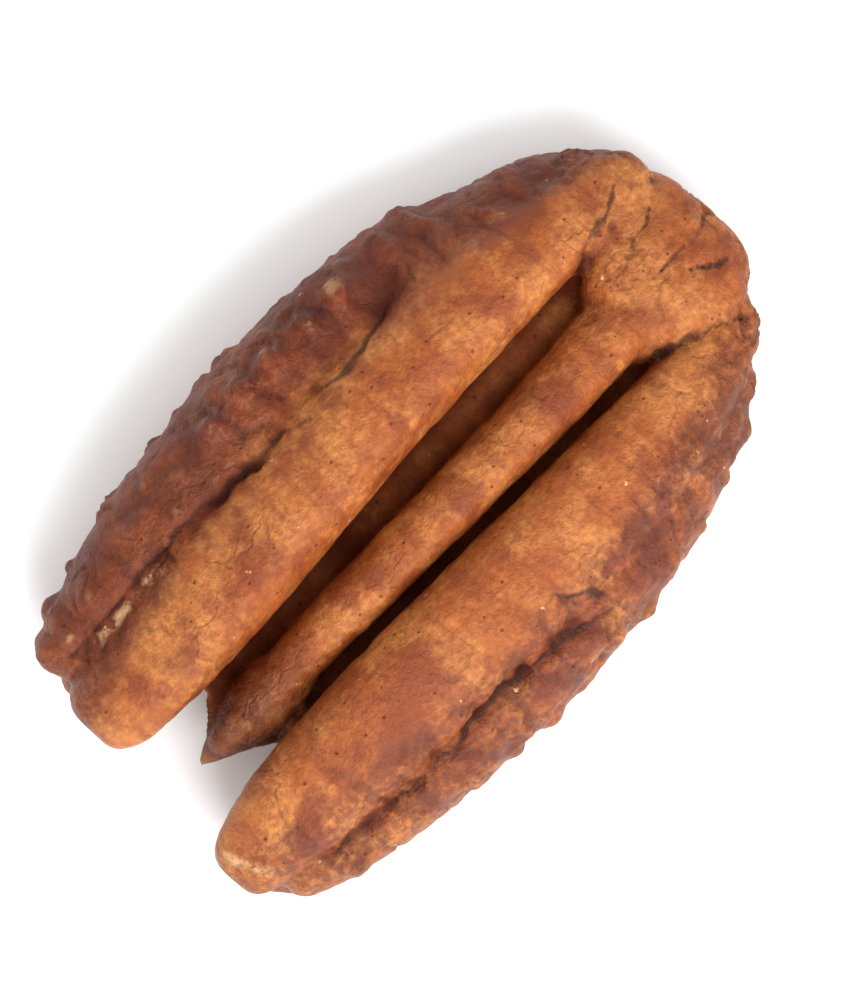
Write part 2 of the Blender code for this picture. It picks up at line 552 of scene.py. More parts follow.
@dataclass
class Kernel:
    """The whole pecan half: its form, its relief and its finish.

    Lengths are in millimetres.
    """

    voxel: float = 0.18
    rings: int = 128
    segments: int = 96
    softening: int = 4
    softening_share: float = 0.5
    rest_depth: float = 0.12
    undulation_depth: float = 0.14
    undulation_spacing: float = 2.2
    wrinkle_depth: float = 0.15
    wrinkle_spacing: float = 1.7
    ripple_depth: float = 0.11
    ripple_spacing: float = 0.85
    line_depths: tuple[float, float, float, float] = (0.32, 0.12, -0.08, 0.22)
    pit_depth: float = 0.13
    grain_depth: float = 0.035
    seed: float = 3.7
    nodules: tuple[Nodules, ...] = (
        Nodules(FLANK_ROWS, 1.5, (0.95, 1.12, 1.12), 1.06, 0.14, 11),
        Nodules(BEAD_ROWS, 1.65, (0.80, 0.85, 0.80), 0.18, 0.12, 5, span=(-0.02, 0.62)),
        Nodules(SMOOTH_FLANK_ROWS, 1.9, (1.0, 1.2, 1.2), 1.10, 0.10, 17),
        Nodules(RIM_ROWS, 1.25, (0.75, 1.0, 1.0), 1.02, 0.12, 23),
    )

    def build(self, skin: bpy.types.Material) -> bpy.types.Object:
        """Makes the finished kernel.

        Args:
            skin: The finish of its surface.

        Returns:
            One plain mesh object in the frame's place and size.
        """
        holder = self._bundle()
        tree = NoduleTree().build()
        guides = [nodules.add_to(holder, tree) for nodules in self.nodules]
        self._cover(holder)
        guides += self._add_relief(holder, skin)
        shaped = holder.evaluated_get(bpy.context.evaluated_depsgraph_get())
        mesh = bpy.data.meshes.new_from_object(shaped)
        for spare in (holder, *guides):
            bpy.data.objects.remove(spare)
        self._fit(mesh)
        self._measure_hollows(mesh)
        mesh.shade_smooth()
        mesh.name = PIECE
        return linked(PIECE, mesh)

    def _bundle(self) -> bpy.types.Object:
        """Makes every swelling in one mesh, each still a closed shape of its own.

        Returns:
            The object that the modifiers turn into the kernel.
        """
        form = bmesh.new()
        bmesh.ops.create_uvsphere(form, u_segments=self.segments, v_segments=self.rings, radius=1.0)
        ball = np.array([tuple(vert.co) for vert in form.verts])
        form.verts.index_update()
        faces = [[vert.index for vert in face.verts] for face in form.faces]
        form.free()
        places = np.concatenate([swelling.place(ball) for swelling in SWELLINGS]) * MM
        starts = [len(ball) * index for index in range(len(SWELLINGS))]
        mesh = bpy.data.meshes.new("bundle")
        shifted = [[start + i for i in face] for start in starts for face in faces]
        mesh.from_pydata(places, [], shifted)
        return linked("bundle", mesh)

    def _cover(self, holder: bpy.types.Object) -> None:
        """Joins the swellings under one even skin.

        Args:
            holder: The object with the swellings.
        """
        remesh = holder.modifiers.new("skin", "REMESH")
        remesh.mode = "VOXEL"
        remesh.voxel_size = self.voxel * MM
        soften = holder.modifiers.new("soften", "SMOOTH")
        soften.factor = self.softening_share
        soften.iterations = self.softening

    def _add_relief(
        self, holder: bpy.types.Object, skin: bpy.types.Material
    ) -> list[bpy.types.Object]:
        """Presses the relief into the skin and dresses it.

        Args:
            holder: The object with the covered swellings.
            skin: The finish of the surface.

        Returns:
            The guides of the furrows and cracks.
        """
        relief = holder.modifiers.new("relief", "NODES")
        relief.node_group = ReliefTree().build()
        inputs = {
            "Undulation Depth": self.undulation_depth,
            "Undulation Spacing": self.undulation_spacing,
            "Wrinkle Depth": self.wrinkle_depth,
            "Wrinkle Spacing": self.wrinkle_spacing,
            "Ripple Depth": self.ripple_depth,
            "Ripple Spacing": self.ripple_spacing,
            "Grain Depth": self.grain_depth,
            "Pit Depth": self.pit_depth,
            "Seed": self.seed,
            "Skin": skin,
        }
        guides = []
        kinds = (FURROWS, CRACKS, SCUFFS, SLIT)
        for name, lines, depth in zip(LINE_NAMES, kinds, self.line_depths):
            flat = [np.array([(x, y, 0.0) for x, y in line]) for line in lines]
            guides.append(edge_guide(name, flat))
            inputs[name + " Lines"] = guides[-1]
            inputs[name + " Depth"] = depth
        set_inputs(relief, inputs)
        return guides

    def _fit(self, mesh: bpy.types.Mesh) -> None:
        """Brings the mesh to the frame's box and flattens what the kernel rests on.

        Args:
            mesh: The kernel as a plain mesh.
        """
        low, high = (np.array(corner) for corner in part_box(NODE))
        low[2] -= self.rest_depth * MM
        places = vectors(mesh.vertices, "co")
        least, most = places.min(axis=0), places.max(axis=0)
        places = low + (places - least) * (high - low) / (most - least)
        places[:, 2] = np.maximum(places[:, 2], 0.0)
        mesh.vertices.foreach_set("co", places.ravel())
        mesh.update()

    def _measure_hollows(self, mesh: bpy.types.Mesh) -> None:
        """Stores how deep each point lies below its surroundings, near and far.

        Args:
            mesh: The fitted mesh.
        """
        places = vectors(mesh.vertices, "co")
        normals = vectors(mesh.vertices, "normal")
        ends = np.empty(len(mesh.edges) * 2, dtype=np.int64)
        mesh.edges.foreach_get("vertices", ends)
        ends = ends.reshape(-1, 2)
        for trace, steps, reach in ((Trace.DIMPLE, 10, 0.10), (Trace.HOLLOW, 160, 0.9)):
            around = relaxed(places, ends, steps)
            depth = ((around - places) * normals).sum(axis=1) / (reach * MM)
            store(mesh, trace, relaxed(depth[:, None], ends, 2)[:, 0])


def linked(name: str, mesh: bpy.types.Mesh) -> bpy.types.Object:
    """Puts a mesh into the scene as an object of its own."""
    made = bpy.data.objects.new(name, mesh)
    bpy.context.scene.collection.objects.link(made)
    return made


def edge_guide(name: str, lines: list[np.ndarray]) -> bpy.types.Object:
    """Makes an object of loose edges from lines of points.

    Args:
        name: The object's name.
        lines: Points in millimetres, one array for each line.

    Returns:
        The guide, which isn't part of the kernel.
    """
    form = bmesh.new()
    for line in lines:
        corners = [form.verts.new(Vector(point) * MM) for point in line]
        for first, second in zip(corners, corners[1:]):
            form.edges.new((first, second))
    mesh = bpy.data.meshes.new(name)
    form.to_mesh(mesh)
    form.free()
    return linked(name, mesh)


def vectors(items: object, name: str) -> np.ndarray:
    """Reads a vector property of many mesh items, one row each."""
    flat = np.empty(len(items) * 3)
    items.foreach_get(name, flat)
    return flat.reshape(-1, 3)


def relaxed(values: np.ndarray, ends: np.ndarray, steps: int) -> np.ndarray:
    """Averages values with their neighbours' along the edges, again and again.

    Args:
        values: One row for each point.
        ends: The two points of each edge.
        steps: How many times.

    Returns:
        The averaged values.
    """
    count = len(values)
    here, there = np.concatenate([ends, ends[:, ::-1]]).T
    share = 0.5 / np.maximum(np.bincount(here, minlength=count), 1)[:, None]
    for _ in range(steps):
        sums = [np.bincount(here, column[there], minlength=count) for column in values.T]
        values = 0.5 * values + share * np.stack(sums, axis=1)
    return values


def store(mesh: bpy.types.Mesh, trace: Trace, values: np.ndarray) -> None:
    """Writes one number for each point under the trace's name."""
    attribute = mesh.attributes.new(trace.value, "FLOAT", "POINT")
    attribute.data.foreach_set("value", values.astype(np.float32))


def set_inputs(modifier: bpy.types.NodesModifier, values: dict[str, object]) -> None:
    """Sets a Geometry Nodes modifier's inputs.

    Args:
        modifier: The modifier, with its tree.
        values: Input values by socket name.
    """
    for item in modifier.node_group.interface.items_tree:
        if item.in_out == "INPUT" and item.name in values:
            modifier[item.identifier] = values[item.name]


def geometry_bench(name: str, inputs: dict[str, str]) -> tuple[Bench, dict]:
    """Starts a Geometry Nodes tree that takes and gives a geometry.

    Args:
        name: The tree's name.
        inputs: Short type of each further input, such as Float, by its name.

    Returns:
        The bench, and the group input's sockets by name.
    """
    tree = bpy.data.node_groups.new(name, "GeometryNodeTree")
    tree.interface.new_socket("Geometry", in_out="OUTPUT", socket_type="NodeSocketGeometry")
    for socket_name, kind in {"Geometry": "Geometry", **inputs}.items():
        tree.interface.new_socket(socket_name, in_out="INPUT", socket_type="NodeSocket" + kind)
    bench = Bench(tree)
    entry = bench.node("NodeGroupInput")
    return bench, {socket.name: socket for socket in entry.outputs if socket.name}


@dataclass(frozen=True)
class NoduleTree:
    """Grows nodules along every line of a guide's edges."""

    facets: int = 4
    turn: float = 0.30
    growth: float = 0.14

    def build(self) -> bpy.types.NodeTree:
        """Makes the tree.

        Returns:
            A Geometry Nodes tree that adds the nodules to the geometry it is given.
        """
        inputs = {
            "Guide": "Object",
            "Spacing": "Float",
            "Size": "Vector",
            "Jitter": "Float",
            "Seed": "Int",
        }
        bench, given = geometry_bench("nodule_rows", inputs)
        guide = bench.node("GeometryNodeObjectInfo", transform_space="ORIGINAL")
        bench.feed(guide.inputs["Object"], given["Guide"])
        curve = bench.node("GeometryNodeMeshToCurve")
        bench.feed(curve.inputs["Mesh"], guide.outputs["Geometry"])
        points = bench.node("GeometryNodeResampleCurve", mode="LENGTH")
        bench.feed(points.inputs["Curve"], curve.outputs["Curve"])
        bench.feed(points.inputs["Length"], given["Spacing"])
        moved = bench.node("GeometryNodeSetPosition")
        bench.feed(moved.inputs["Geometry"], points.outputs["Curve"])
        shift = bench.vector("SCALE", self._chance(bench, given["Seed"], 1, 1.0), given["Jitter"])
        bench.feed(moved.inputs["Offset"], shift)
        ball = bench.node("GeometryNodeMeshIcoSphere")
        ball.inputs["Radius"].default_value = 1.0
        ball.inputs["Subdivisions"].default_value = self.facets
        rows = bench.node("GeometryNodeInstanceOnPoints")
        bench.feed(rows.inputs["Points"], moved.outputs["Geometry"])
        bench.feed(rows.inputs["Instance"], ball.outputs["Mesh"])
        bench.feed(rows.inputs["Rotation"], self._chance(bench, given["Seed"], 2, self.turn))
        growth = bench.vector("ADD", self._chance(bench, given["Seed"], 3, self.growth), (1, 1, 1))
        bench.feed(rows.inputs["Scale"], bench.vector("MULTIPLY", given["Size"], growth))
        solid = bench.node("GeometryNodeRealizeInstances")
        bench.feed(solid.inputs["Geometry"], rows.outputs["Instances"])
        joined = bench.node("GeometryNodeJoinGeometry")
        bench.feed(joined.inputs["Geometry"], given["Geometry"])
        bench.feed(joined.inputs["Geometry"], solid.outputs["Geometry"])
        last = bench.node("NodeGroupOutput")
        bench.feed(last.inputs["Geometry"], joined.outputs["Geometry"])
        return bench.tree

    def _chance(self, bench: Bench, seed: object, offset: int, most: float) -> object:
        """A random vector for each point, each number between -most and most."""
        made = bench.node("FunctionNodeRandomValue", data_type="FLOAT_VECTOR")
        made.inputs[0].default_value = (-most,) * 3
        made.inputs[1].default_value = (most,) * 3
        bench.feed(made.inputs["Seed"], bench.math("ADD", seed, 100 * offset))
        return made.outputs[0]


@dataclass(frozen=True)
class ReliefTree:
    """Presses the wrinkles, ripples, lines and grain into the skin.

    Places and depths are read in millimetres. patch is the flesh's middle, and its half length and
    half width.
    """

    line_reach: float = 0.60
    line_power: float = 1.6
    raggedness: float = 0.75
    knob_height: float = 0.95
    crumb_height: float = 0.50
    wander: float = 0.40
    patch: tuple[float, float, float, float] = (-7.9, -0.63, 5.0, 2.3)

    def build(self) -> bpy.types.NodeTree:
        """Makes the tree.

        Returns:
            A Geometry Nodes tree that moves the skin's points and stores its traces.
        """
        names = ("Undulation", "Wrinkle", "Ripple")
        inputs = {f"{name} {kind}": "Float" for name in names for kind in ("Depth", "Spacing")}
        inputs |= {"Grain Depth": "Float", "Pit Depth": "Float"}
        inputs |= {"Seed": "Float", "Skin": "Material"}
        inputs |= {name + " Lines": "Object" for name in LINE_NAMES}
        inputs |= {name + " Depth": "Float" for name in LINE_NAMES}
        bench, given = geometry_bench("kernel_relief", inputs)
        place = bench.vector("SCALE", bench.node("GeometryNodeInputPosition").outputs[0], 1 / MM)
        normal = bench.node("GeometryNodeInputNormal").outputs[0]
        up = bench.parts(normal)[2]
        seeded = bench.vector("ADD", place, bench.join(given["Seed"], 0.0, given["Seed"]))
        drift = self._drift(bench, seeded, 0.5)
        loose = bench.vector("ADD", seeded, bench.vector("SCALE", drift, 3.0 * self.wander))
        crinkle = bench.vector("SCALE", self._drift(bench, seeded, 1.1), self.wander)
        wandering = bench.vector("ADD", place, crinkle)

        flank, under, rough_side = self._sides(bench, place, up)
        folds = self._folds(bench, loose, given["Wrinkle Spacing"], rough_side)
        ripples = self._ripples(bench, loose, given["Ripple Spacing"], rough_side)
        above = bench.ramp(up, 0.05, 0.35)
        below = bench.ramp(up, 0.05, -0.25)
        flesh = self._flesh(bench, place, up, seeded)

        swell = self._swell(bench, loose, given["Undulation Spacing"])
        grain = bench.swing(bench.noise(seeded, 2.4, 2.0))
        rise = bench.math("MULTIPLY", swell, given["Undulation Depth"])
        rise = bench.math("MULTIPLY_ADD", grain, given["Grain Depth"], rise)
        pits = self._apex_pits(bench, place, seeded)
        rise = bench.math("SUBTRACT", rise, bench.math("MULTIPLY", pits, given["Pit Depth"]))
        for value, name in ((folds, "Wrinkle"), (ripples, "Ripple")):
            pressed = bench.math("MULTIPLY", value, given[name + " Depth"])
            rise = bench.math("SUBTRACT", rise, pressed)
        near = {}
        for name, side in zip(LINE_NAMES, (above, above, above, below)):
            near[name] = self._line(bench, given[name + " Lines"], wandering, side)
            sharp = bench.math("POWER", near[name], self.line_power)
            pressed = bench.math("MULTIPLY", sharp, given[name + " Depth"])
            rise = bench.math("SUBTRACT", rise, pressed)
        rise = bench.blend(flesh, rise, self._crumbs(bench, seeded))

        # The FOLD and CRACK traces mark the creases that the finish darkens with painted shade.
        dark = bench.math("MAXIMUM", near["Crack"], near["Furrow"])
        traces = {
            Trace.FOLD: bench.math("MAXIMUM", folds, bench.math("MULTIPLY", ripples, 0.7)),
            Trace.CRACK: bench.math("MAXIMUM", dark, near["Slit"]),
            Trace.SCUFF: near["Scuff"],
            Trace.FLANK: flank,
            Trace.FLESH: flesh,
            Trace.UNDER: under,
        }
        geometry = given["Geometry"]
        for trace, value in traces.items():
            kept = bench.node("GeometryNodeStoreNamedAttribute", data_type="FLOAT", domain="POINT")
            for name, entry in (("Geometry", geometry), ("Name", trace.value), ("Value", value)):
                bench.feed(kept.inputs[name], entry)
            geometry = kept.outputs["Geometry"]
        shaped = bench.node("GeometryNodeSetPosition")
        bench.feed(shaped.inputs["Geometry"], geometry)
        move = bench.vector("SCALE", normal, bench.math("MULTIPLY", rise, MM))
        bench.feed(shaped.inputs["Offset"], move)
        solid = bench.node("GeometryNodeRealizeInstances")
        bench.feed(solid.inputs["Geometry"], shaped.outputs["Geometry"])
        dressed = bench.node("GeometryNodeSetMaterial")
        bench.feed(dressed.inputs["Geometry"], solid.outputs["Geometry"])
        bench.feed(dressed.inputs["Material"], given["Skin"])
        last = bench.node("NodeGroupOutput")
        bench.feed(last.inputs["Geometry"], dressed.outputs["Geometry"])
        return bench.tree

    def _drift(self, bench: Bench, place: object, scale: float) -> object:
        """A slowly turning vector, each number between about -1 and 1."""
        colour = bench.noise(place, scale, 1.0).outputs["Color"]
        return bench.vector("SCALE", bench.vector("SUBTRACT", colour, (0.5, 0.5, 0.5)), 2.0)

    def _sides(self, bench: Bench, place: object, up: object) -> tuple:
        """Where the skin is a flank, the underside, and either or the wrinkled notched end.

        Args:
            bench: The tree under construction.
            place: The point, in millimetres.
            up: How far the surface faces up, from -1 to 1.

        Returns:
            The three shares, each from 0 to 1.
        """
        x, y, _ = bench.parts(place)
        bow = bench.math("MULTIPLY", bench.math("MULTIPLY", x, x), 0.012)
        flank = bench.ramp(bench.math("ADD", bench.math("ABSOLUTE", y), bow), 6.2, 8.0)
        under = bench.ramp(up, 0.15, -0.45)
        notched_end = bench.ramp(x, -7.0, -11.0, 0.0, 0.5)
        rough = bench.math("MAXIMUM", bench.math("MAXIMUM", flank, under), notched_end)
        calm_tip = bench.ramp(x, -12.0, -15.0, 1.0, 0.35)
        return flank, under, bench.math("MULTIPLY", rough, calm_tip)

    def _swell(self, bench: Bench, place: object, spacing: object) -> object:
        """Low waves that run across the nut, between about -1 and 1."""
        wide = bench.vector("MULTIPLY", place, (1.0, 0.45, 0.45))
        return bench.swing(bench.noise(wide, bench.math("DIVIDE", 1.0, spacing), 1.5))

    def _folds(self, bench: Bench, place: object, spacing: object, rough: object) -> object:
        """Long creases that run across the nut, 1 in their bottoms and 0 between them.

        Args:
            bench: The tree under construction.
            place: The point, in millimetres.
            spacing: From one crease to the next, in millimetres.
            rough: How wrinkled the place is, from 0 to 1.

        Returns:
            The creases' share.
        """
        wide = bench.vector("MULTIPLY", place, (1.0, 0.26, 0.26))
        value = bench.noise(wide, bench.math("DIVIDE", 0.8, spacing), 1.5, 0.45).outputs[0]
        away = bench.math("ABSOLUTE", bench.math("SUBTRACT", value, 0.5))
        crease = bench.math("SUBTRACT", 1.0, bench.math("MULTIPLY", away, 6.0), clamp=True)
        share = bench.ramp(rough, 0.0, 1.0, 0.22, 1.0)
        return bench.math("MULTIPLY", bench.math("POWER", crease, 1.8), share)

    def _ripples(self, bench: Bench, place: object, spacing: object, rough: object) -> object:
        """Close-set small ridges across the nut, 1 in the creases between them.

        Args:
            bench: The tree under construction.
            place: The point, in millimetres.
            spacing: From one crease to the next, in millimetres.
            rough: How wrinkled the place is, from 0 to 1.

        Returns:
            The creases' share.
        """
        wide = bench.vector("MULTIPLY", place, (1.0, 0.5, 0.5))
        shift = bench.math("MULTIPLY", bench.noise(wide, 0.45, 2.0).outputs[0], 5.0)
        x = bench.parts(place)[0]
        position = bench.math("ADD", bench.math("DIVIDE", x, spacing), shift)
        turn = bench.math("MULTIPLY", position, math.pi)
        ridge = bench.math("ABSOLUTE", bench.math("SINE", turn))
        crease = bench.math("POWER", bench.math("SUBTRACT", 1.0, ridge, clamp=True), 1.3)
        patchy = bench.ramp(bench.noise(place, 0.4, 1.0).outputs[0], 0.35, 0.6, 0.35, 1.0)
        share = bench.ramp(rough, 0.0, 1.0, 0.06, 1.0)
        return bench.math("MULTIPLY", bench.math("MULTIPLY", crease, patchy), share)

    def _apex_pits(self, bench: Bench, place: object, seeded: object) -> object:
        """Small pits round the apex, 1 in their bottoms."""
        near = bench.ramp(bench.parts(place)[0], 10.5, 14.0)
        pits = bench.ramp(bench.noise(seeded, 1.25, 3.0, 0.6).outputs[0], 0.52, 0.38)
        return bench.math("MULTIPLY", pits, near)

    def _line(self, bench: Bench, guide: object, place: object, side: object) -> object:
        """How near a point lies to a guide's lines in plan: 1 on a line, 0 from the reach on.

        Args:
            bench: The tree under construction.
            guide: The object with the lines.
            place: The point, in millimetres.
            side: Share of the surface that faces the right way.

        Returns:
            The nearness.
        """
        lines = bench.node("GeometryNodeObjectInfo", transform_space="ORIGINAL")
        bench.feed(lines.inputs["Object"], guide)
        near = bench.node("GeometryNodeProximity", target_element="EDGES")
        bench.feed(near.inputs[0], lines.outputs["Geometry"])
        flat = bench.vector("MULTIPLY", place, (MM, MM, 0.0))
        bench.feed(near.inputs["Source Position"], flat)
        away = bench.math("DIVIDE", near.outputs["Distance"], self.line_reach * MM)
        fading = bench.ramp(bench.noise(place, 0.42, 1.0).outputs[0], 0.38, 0.58, 0.86, 1.0)
        share = bench.math("MULTIPLY", fading, side)
        return bench.math("MULTIPLY", bench.math("SUBTRACT", 1.0, away, clamp=True), share)

    def _crumbs(self, bench: Bench, place: object) -> object:
        """The broken flesh's knobs and grains, in millimetres out of the surface."""
        knobs = bench.swing(bench.noise(place, 0.6, 2.0))
        grains = bench.swing(bench.noise(place, 1.6, 3.0, 0.7))
        fine = bench.math("MULTIPLY", grains, self.crumb_height)
        return bench.math("MULTIPLY_ADD", knobs, self.knob_height, fine)

    def _flesh(self, bench: Bench, place: object, up: object, seeded: object) -> object:
        """Where the flesh shows on the patch under the germ: 1 inside, 0 outside.

        Args:
            bench: The tree under construction.
            place: The point, in millimetres.
            up: How far the surface faces up, from -1 to 1.
            seeded: The point, moved by the seed.

        Returns:
            The flesh's share.
        """
        x, y, z = bench.parts(place)
        middle_x, middle_y, half_length, half_width = self.patch
        lengthwise = bench.math("DIVIDE", bench.math("SUBTRACT", x, middle_x), half_length)
        across = bench.math("DIVIDE", bench.math("SUBTRACT", y, middle_y), half_width)
        taper = bench.ramp(lengthwise, -0.3, 0.3, 1.3, 2.4)
        edge = 0.0
        for share, power in ((lengthwise, taper), (across, 1.7)):
            part = bench.math("POWER", bench.math("ABSOLUTE", share), power)
            edge = bench.math("ADD", part, edge)
        ragged = bench.swing(bench.noise(seeded, 0.6, 3.5, 0.6))
        edge = bench.math("MULTIPLY_ADD", ragged, self.raggedness, edge)
        inside = bench.ramp(edge, 1.0, 0.84)
        low = bench.ramp(z, 2.6, 2.0)
        facing = bench.ramp(up, 0.0, -0.3)
        return bench.math("MULTIPLY", bench.math("MULTIPLY", inside, low), facing)


@dataclass(frozen=True)
class SkinFinish:
    """The brown seed skin, with the pale broken flesh where it is missing."""

    tan: tuple = linear(185, 116, 58)
    caramel: tuple = linear(156, 83, 34)
    russet_and_shade: tuple = linear(114, 49, 20)
    umber_and_shade: tuple = linear(64, 20, 6)
    crease_shade: tuple = linear(36, 10, 3)
    gold: tuple = linear(184, 117, 60)
    dust_and_highlight: tuple = linear(208, 168, 122)
    flesh: tuple = linear(216, 190, 144)
    flesh_shade: tuple = linear(168, 124, 76)

    def material(self) -> bpy.types.Material:
        """Makes the finish.

        Returns:
            A node material that reads Object coordinates and the traces on the mesh.
        """
        made = bpy.data.materials.new(SLOT)
        made.use_nodes = True
        bench = Bench(made.node_tree)
        shader = made.node_tree.nodes["Principled BSDF"]
        place = bench.vector("SCALE", bench.node("ShaderNodeTexCoord").outputs["Object"], 1 / MM)
        traces = {trace: self._trace(bench, trace) for trace in Trace}
        veins = self._veins(bench, place)
        pores = bench.ramp(bench.cells(place, 1.3), 0.04, 0.12, 1.0, 0.0)
        leather = bench.swing(bench.noise(place, 3.2, 4.0, 0.62))

        colour = self._patches(bench, place, traces, leather)
        colour = self._shades(bench, place, colour, traces, veins, pores)
        colour = self._wear_and_highlights(bench, place, colour, traces)
        colour = bench.mix(traces[Trace.FLESH], colour, self._flesh_colour(bench, place, traces))
        bench.feed(shader.inputs["Base Color"], colour)

        rough = bench.ramp(bench.noise(place, 0.8, 3.0).outputs[0], 0.35, 0.65, 0.40, 0.56)
        rough = bench.math("MULTIPLY_ADD", traces[Trace.FLESH], 0.25, rough)
        bench.feed(shader.inputs["Roughness"], rough)
        shine = bench.ramp(traces[Trace.HOLLOW], 0.0, 0.6, 0.24, 0.04)
        bench.feed(shader.inputs["Specular IOR Level"], shine)

        fine = bench.swing(bench.noise(place, 10.0, 3.0))
        height = bench.math("MULTIPLY_ADD", fine, 0.25, leather)
        height = bench.math("SUBTRACT", height, bench.math("MULTIPLY", veins, 0.5))
        height = bench.math("SUBTRACT", height, bench.math("MULTIPLY", pores, 0.9))
        bump = bench.node("ShaderNodeBump")
        bump.inputs["Strength"].default_value = 0.75
        bump.inputs["Distance"].default_value = 0.10 * MM
        bench.feed(bump.inputs["Height"], height)
        bench.feed(shader.inputs["Normal"], bump.outputs["Normal"])
        return made

    def _patches(self, bench: Bench, place: object, traces: dict, leather: object) -> object:
        """The skin's colour before the painted shade of hollows: caramel and tan, redder in
        patches.

        The flanks are redder and darker: their own tone, with painted shade that is strongest on
        the left flank.

        Args:
            bench: The tree under construction.
            place: The point, in millimetres.
            traces: The numbers that the mesh carries.
            leather: The fine grain of the skin.

        Returns:
            The colour.
        """
        mottle = bench.ramp(bench.noise(place, 0.34, 4.0, 0.62).outputs[0], 0.42, 0.60)
        colour = bench.mix(mottle, self.caramel, self.tan)
        tip = bench.ramp(bench.parts(place)[0], -12.5, -15.5, 0.0, 0.45)
        golden = bench.math("MAXIMUM", bench.math("MULTIPLY", traces[Trace.UNDER], 0.8), tip)
        colour = bench.mix(golden, colour, self.gold)
        elsewhere = bench.vector("ADD", place, (31.0, 7.0, 3.0))
        blush_and_side_shade = bench.ramp(bench.noise(elsewhere, 0.38, 5.0, 0.62).outputs[0], 0.47, 0.62, 0.0, 0.8)
        # The flanks' redder share: their own tone, raised on the left flank as painted shade on the
        # side away from the lamp.
        upper_flank = bench.blend(traces[Trace.UNDER], traces[Trace.FLANK], 0.0)
        left = bench.ramp(bench.parts(place)[1], -2.0, 5.0, 0.15, 0.85)
        blush_and_side_shade = bench.math("MULTIPLY_ADD", upper_flank, left, blush_and_side_shade, clamp=True)
        blush_and_side_shade = bench.math("MULTIPLY", blush_and_side_shade, bench.ramp(golden, 0.0, 1.0, 1.0, 0.35))
        colour = bench.mix(blush_and_side_shade, colour, self.russet_and_shade)
        across = bench.vector("MULTIPLY", place, (1.5, 0.35, 0.35))
        bands = bench.ramp(bench.noise(across, 0.9, 3.0, 0.55).outputs[0], 0.46, 0.62, 0.0, 0.38)
        colour = bench.mix(bands, colour, self.russet_and_shade)
        grain = bench.ramp(leather, -0.30, 0.40, 0.45, 0.0)
        colour = bench.mix(grain, colour, self.russet_and_shade)
        # Dark brown in the flanks' grain: darker grain, and painted shade on the steep flanks.
        return bench.mix(bench.math("MULTIPLY", grain, upper_flank), colour, self.umber_and_shade)

    def _shades(
        self, bench: Bench, place: object, colour: object, traces: dict, veins: object,
        pores: object,
    ) -> object:
        """Darkens hollows, folds, cracks, veins, pores and the germ's tip.

        In the hollows, dimples, folds, furrows, cracks and slit the dark is painted shade; the
        veins and pores are the skin's own dark marks.

        Args:
            bench: The tree under construction.
            place: The point, in millimetres.
            colour: The colour so far.
            traces: The numbers that the mesh carries.
            veins: 1 on a hairline.
            pores: 1 in a pore.

        Returns:
            The darker colour.
        """
        hollow = bench.ramp(traces[Trace.HOLLOW], 0.02, 0.75, 0.0, 0.92)
        dimple = bench.ramp(traces[Trace.DIMPLE], 0.05, 0.9, 0.0, 0.7)
        fold = bench.ramp(traces[Trace.FOLD], 0.1, 0.9, 0.0, 0.5)
        x, y, _ = bench.parts(place)
        off_germ = bench.math("ABSOLUTE", bench.math("ADD", y, 0.5))
        germ = bench.math("MULTIPLY", bench.ramp(x, -7.0, -13.0), bench.ramp(off_germ, 2.4, 1.4))
        # Hollow, dimple and fold lay painted shade; the veins and pores are the skin's own dark
        # marks.
        for share, shade in (
            (hollow, self.umber_and_shade),
            (dimple, self.umber_and_shade),
            (fold, self.umber_and_shade),
            (bench.math("MULTIPLY", germ, 0.7), self.umber_and_shade),
            (bench.math("MULTIPLY", veins, 0.25), self.umber_and_shade),
            (bench.math("MULTIPLY", pores, 0.6), self.umber_and_shade),
            # Painted shade along the furrows, cracks and slit.
            (bench.ramp(traces[Trace.CRACK], 0.64, 0.92, 0.0, 0.75), self.crease_shade),
        ):
            colour = bench.mix(share, colour, shade)
        return colour

    def _wear_and_highlights(self, bench: Bench, place: object, colour: object, traces: dict) -> object:
        """Pales scuffs and, here and there, sharp edges, and scatters light specks.

        The pale on sharp edges is partly rubbed skin and partly painted highlight.

        Args:
            bench: The tree under construction.
            place: The point, in millimetres.
            colour: The colour so far.
            traces: The numbers that the mesh carries.

        Returns:
            The colour with its scuffs, specks and paler sharp edges.
        """
        # Paler sharp edges: partly rubbed skin, partly painted highlight.
        edge = bench.ramp(traces[Trace.DIMPLE], -0.25, -1.0)
        worn_and_lit = bench.ramp(bench.noise(place, 0.9, 3.0, 0.6).outputs[0], 0.48, 0.62, 0.0, 0.4)
        colour = bench.mix(bench.math("MULTIPLY", edge, worn_and_lit), colour, self.dust_and_highlight)
        broken = bench.ramp(bench.noise(place, 2.2, 3.0, 0.6).outputs[0], 0.40, 0.60)
        scuff = bench.math("MULTIPLY", bench.ramp(traces[Trace.SCUFF], 0.40, 0.90), broken)
        colour = bench.mix(bench.math("MULTIPLY", scuff, 0.55), colour, self.dust_and_highlight)
        torn = bench.noise(place, 4.0, 2.0).outputs["Color"]
        elsewhere = bench.vector("ADD", bench.vector("SCALE", torn, 0.35), place)
        specks = bench.ramp(bench.cells(elsewhere, 0.62), 0.03, 0.075, 0.65, 0.0)
        return bench.mix(specks, colour, self.dust_and_highlight)

    def _flesh_colour(self, bench: Bench, place: object, traces: dict) -> object:
        """The broken flesh: cream, browner in its dents as painted shade, with dark crumbs.

        Args:
            bench: The tree under construction.
            place: The point, in millimetres.
            traces: The numbers that the mesh carries.

        Returns:
            The colour.
        """
        crumbly = bench.ramp(bench.noise(place, 1.2, 5.0, 0.65).outputs[0], 0.46, 0.64, 0.0, 0.8)
        colour = bench.mix(crumbly, self.flesh, self.flesh_shade)
